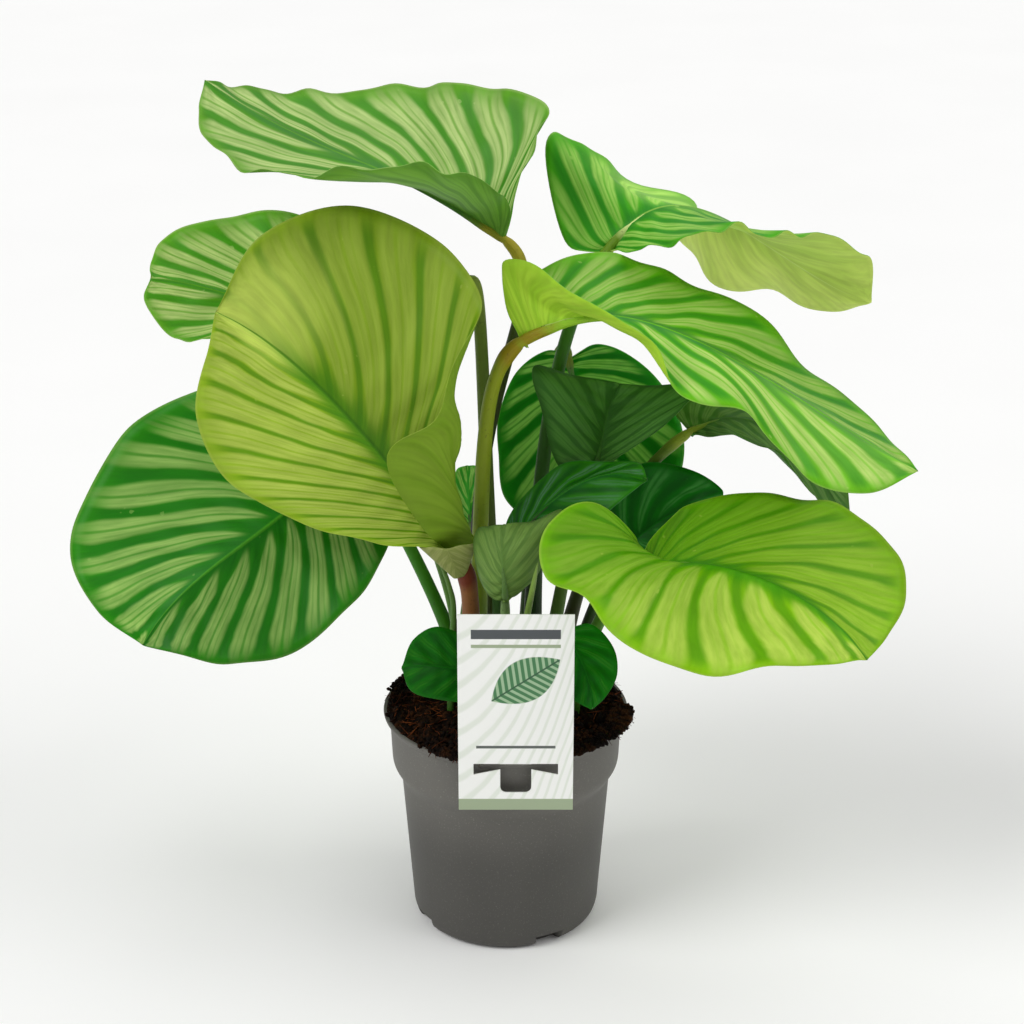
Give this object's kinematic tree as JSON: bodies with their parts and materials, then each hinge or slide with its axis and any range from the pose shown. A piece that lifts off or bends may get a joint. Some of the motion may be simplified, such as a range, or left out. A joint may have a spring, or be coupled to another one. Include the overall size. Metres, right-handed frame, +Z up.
{
  "type": "potted plant",
  "caption": "Potted calathea: broad banded leaves on slender stalks rise from soil in a round nursery pot with a plain hanging label.",
  "frame": {"origin": "middle of the pot's foot, at the height that it stands on", "axes": "+Z up; the label faces -Y; +X is to the right when the label is looked at"},
  "size_m": [0.5528, 0.3686, 0.5783],
  "materials": {
    "pot": "matt, slightly worn moulded plastic",
    "soil": "dark brown fibrous potting peat",
    "label": "printed card with a satin coat",
    "shoot": "satin young shoots",
    "blade_banded": "satin leaf blade, with silvery bands",
    "stalk_banded": "satin fleshy leaf stalk",
    "blade_fresh": "satin leaf blade, yellow-green, young",
    "stalk_fresh": "satin fleshy leaf stalk",
    "blade_dark": "satin leaf blade, dark green",
    "stalk_dark": "satin fleshy leaf stalk",
    "blade_grey": "satin leaf blade, grey-green, seen from below",
    "stalk_grey": "satin fleshy leaf stalk"
  },
  "bodies": {
    "root": {"pot": "pot", "soil": "soil", "plant_label": "label", "blade_high_left": "blade_banded", "stalk_high_left": "stalk_banded", "blade_back_left": "blade_banded", "stalk_back_left": "stalk_banded", "blade_front_left": "blade_fresh", "stalk_front_left": "stalk_fresh", "blade_low_left": "blade_banded", "stalk_low_left": "stalk_banded", "blade_high_right": "blade_banded", "stalk_high_right": "stalk_banded", "blade_mid_right": "blade_banded", "stalk_mid_right": "stalk_banded", "blade_centre_back": "blade_banded", "stalk_centre_back": "stalk_banded", "blade_centre": "blade_grey", "stalk_centre": "stalk_grey", "blade_back_right": "blade_dark", "stalk_back_right": "stalk_dark", "blade_low_centre": "blade_dark", "stalk_low_centre": "stalk_dark", "blade_low_back": "blade_dark", "stalk_low_back": "stalk_dark", "blade_low_right": "blade_fresh", "stalk_low_right": "stalk_fresh", "blade_cup": "blade_grey", "stalk_cup": "stalk_grey", "blade_small_left": "blade_dark", "stalk_small_left": "stalk_dark", "blade_small_right": "blade_dark", "stalk_small_right": "stalk_dark", "blade_behind": "blade_banded", "stalk_behind": "stalk_banded", "blade_rear": "blade_banded", "stalk_rear": "stalk_banded", "shoot_left": "shoot", "shoot_front": "shoot", "shoot_middle": "shoot"}
  },
  "joints": []
}
